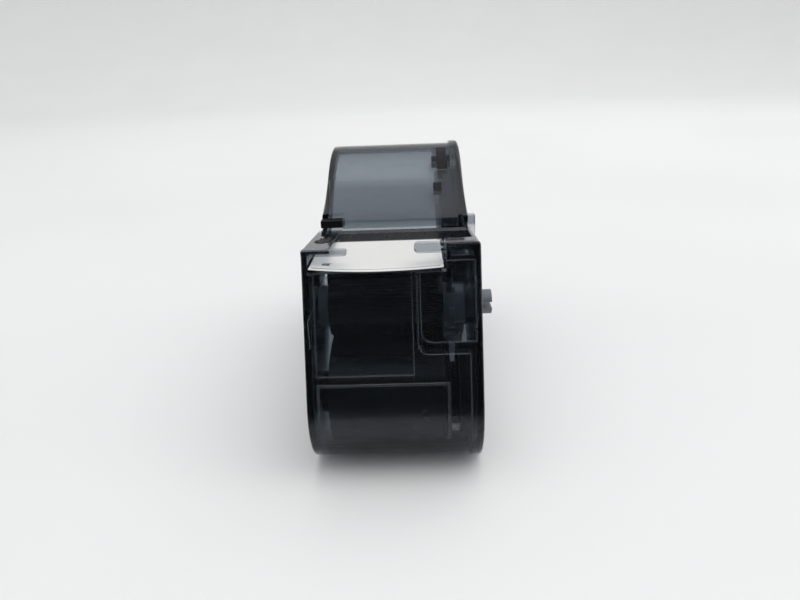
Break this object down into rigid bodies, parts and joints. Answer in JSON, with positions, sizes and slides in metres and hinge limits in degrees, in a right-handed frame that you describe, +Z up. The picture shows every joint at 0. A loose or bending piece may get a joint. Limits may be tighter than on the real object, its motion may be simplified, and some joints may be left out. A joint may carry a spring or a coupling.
{
  "type": "label printer cassette",
  "caption": "Smoke-clear two-lobe label cassette: label roll in the rear drum, ink ribbon spools in the front lobe, label strip leaving under two fingers.",
  "frame": {"origin": "on the surface it stands on, under the middle of its bounding box", "axes": "+X from the base's side plate to the lid with its drive dog, +Y from the front lobe to the label drum, +Z up"},
  "size_m": [0.037, 0.1018, 0.0576],
  "materials": {
    "smoke_plastic": "polished, see-through smoke tint",
    "label_stock": "satin white film",
    "core_plastic": "satin",
    "ribbon_film": "glossy ink film",
    "black_plastic": "fine grain",
    "drive_plastic": "semi-gloss",
    "roller_plastic": "satin",
    "grey_plastic": "satin",
    "steel": "drawn wire finish",
    "felt": "pressed felt",
    "circuit_board": "solder mask",
    "gold": "plated",
    "sticker_paper": "blank coated paper"
  },
  "bodies": {
    "shell": {"base_housing": "smoke_plastic", "lid_cover": "smoke_plastic", "label_strip": "label_stock", "ribbon_strip": "ribbon_film", "roller_pins": "steel", "peel_bar": "steel", "waist_cross_bar": "grey_plastic", "supply_drag_spring": "steel", "supply_spring_shroud": "black_plastic", "core_felt_washer": "felt", "roll_clip": "black_plastic", "strip_edge_pad": "black_plastic", "rear_block": "black_plastic", "deck_latch": "black_plastic", "memory_cell": "circuit_board", "cell_contacts": "gold", "id_sticker": "sticker_paper"},
    "label_spool": {"label_core": "core_plastic", "label_roll": "label_stock"},
    "ribbon_supply": {"ribbon_supply_core": "black_plastic", "ribbon_supply_roll": "ribbon_film"},
    "ribbon_takeup": {"ribbon_takeup_core": "drive_plastic", "ribbon_takeup_roll": "ribbon_film"},
    "exit_guide": {"exit_roller": "roller_plastic"},
    "dip_guide": {"dip_roller": "roller_plastic"},
    "low_guide": {"ribbon_roller_low": "roller_plastic"},
    "high_guide": {"ribbon_roller_high": "roller_plastic"}
  },
  "joints": [
    {"name": "label_spool_spin", "type": "hinge", "parent": "shell", "child": "label_spool", "pos_m": [-0.00155, 0.02183, 0.0285], "axis": [1, 0, 0], "continuous": true},
    {"name": "ribbon_supply_spin", "type": "hinge", "parent": "shell", "child": "ribbon_supply", "pos_m": [-0.00155, -0.03737, 0.0129], "axis": [1, 0, 0], "continuous": true},
    {"name": "ribbon_takeup_spin", "type": "hinge", "parent": "shell", "child": "ribbon_takeup", "pos_m": [-0.00155, -0.03187, 0.0301], "axis": [1, 0, 0], "continuous": true},
    {"name": "exit_roller_spin", "type": "hinge", "parent": "shell", "child": "exit_guide", "pos_m": [-0.00155, -0.02617, 0.04005], "axis": [1, 0, 0], "continuous": true},
    {"name": "dip_roller_spin", "type": "hinge", "parent": "shell", "child": "dip_guide", "pos_m": [-0.00155, -0.01317, 0.0383], "axis": [1, 0, 0], "continuous": true},
    {"name": "ribbon_roller_low_spin", "type": "hinge", "parent": "shell", "child": "low_guide", "pos_m": [-0.00155, -0.00707, 0.026], "axis": [1, 0, 0], "continuous": true},
    {"name": "ribbon_roller_high_spin", "type": "hinge", "parent": "shell", "child": "high_guide", "pos_m": [-0.00155, -0.00707, 0.032], "axis": [1, 0, 0], "continuous": true}
  ],
  "couplings": [
    {"joint": "exit_roller_spin", "follows": "label_spool_spin", "ratio": 15.412},
    {"joint": "dip_roller_spin", "follows": "label_spool_spin", "ratio": -15.412},
    {"joint": "ribbon_takeup_spin", "follows": "ribbon_supply_spin", "ratio": -1.629},
    {"joint": "ribbon_roller_low_spin", "follows": "ribbon_supply_spin", "ratio": -6.7333},
    {"joint": "ribbon_roller_high_spin", "follows": "ribbon_supply_spin", "ratio": -6.7333}
  ]
}
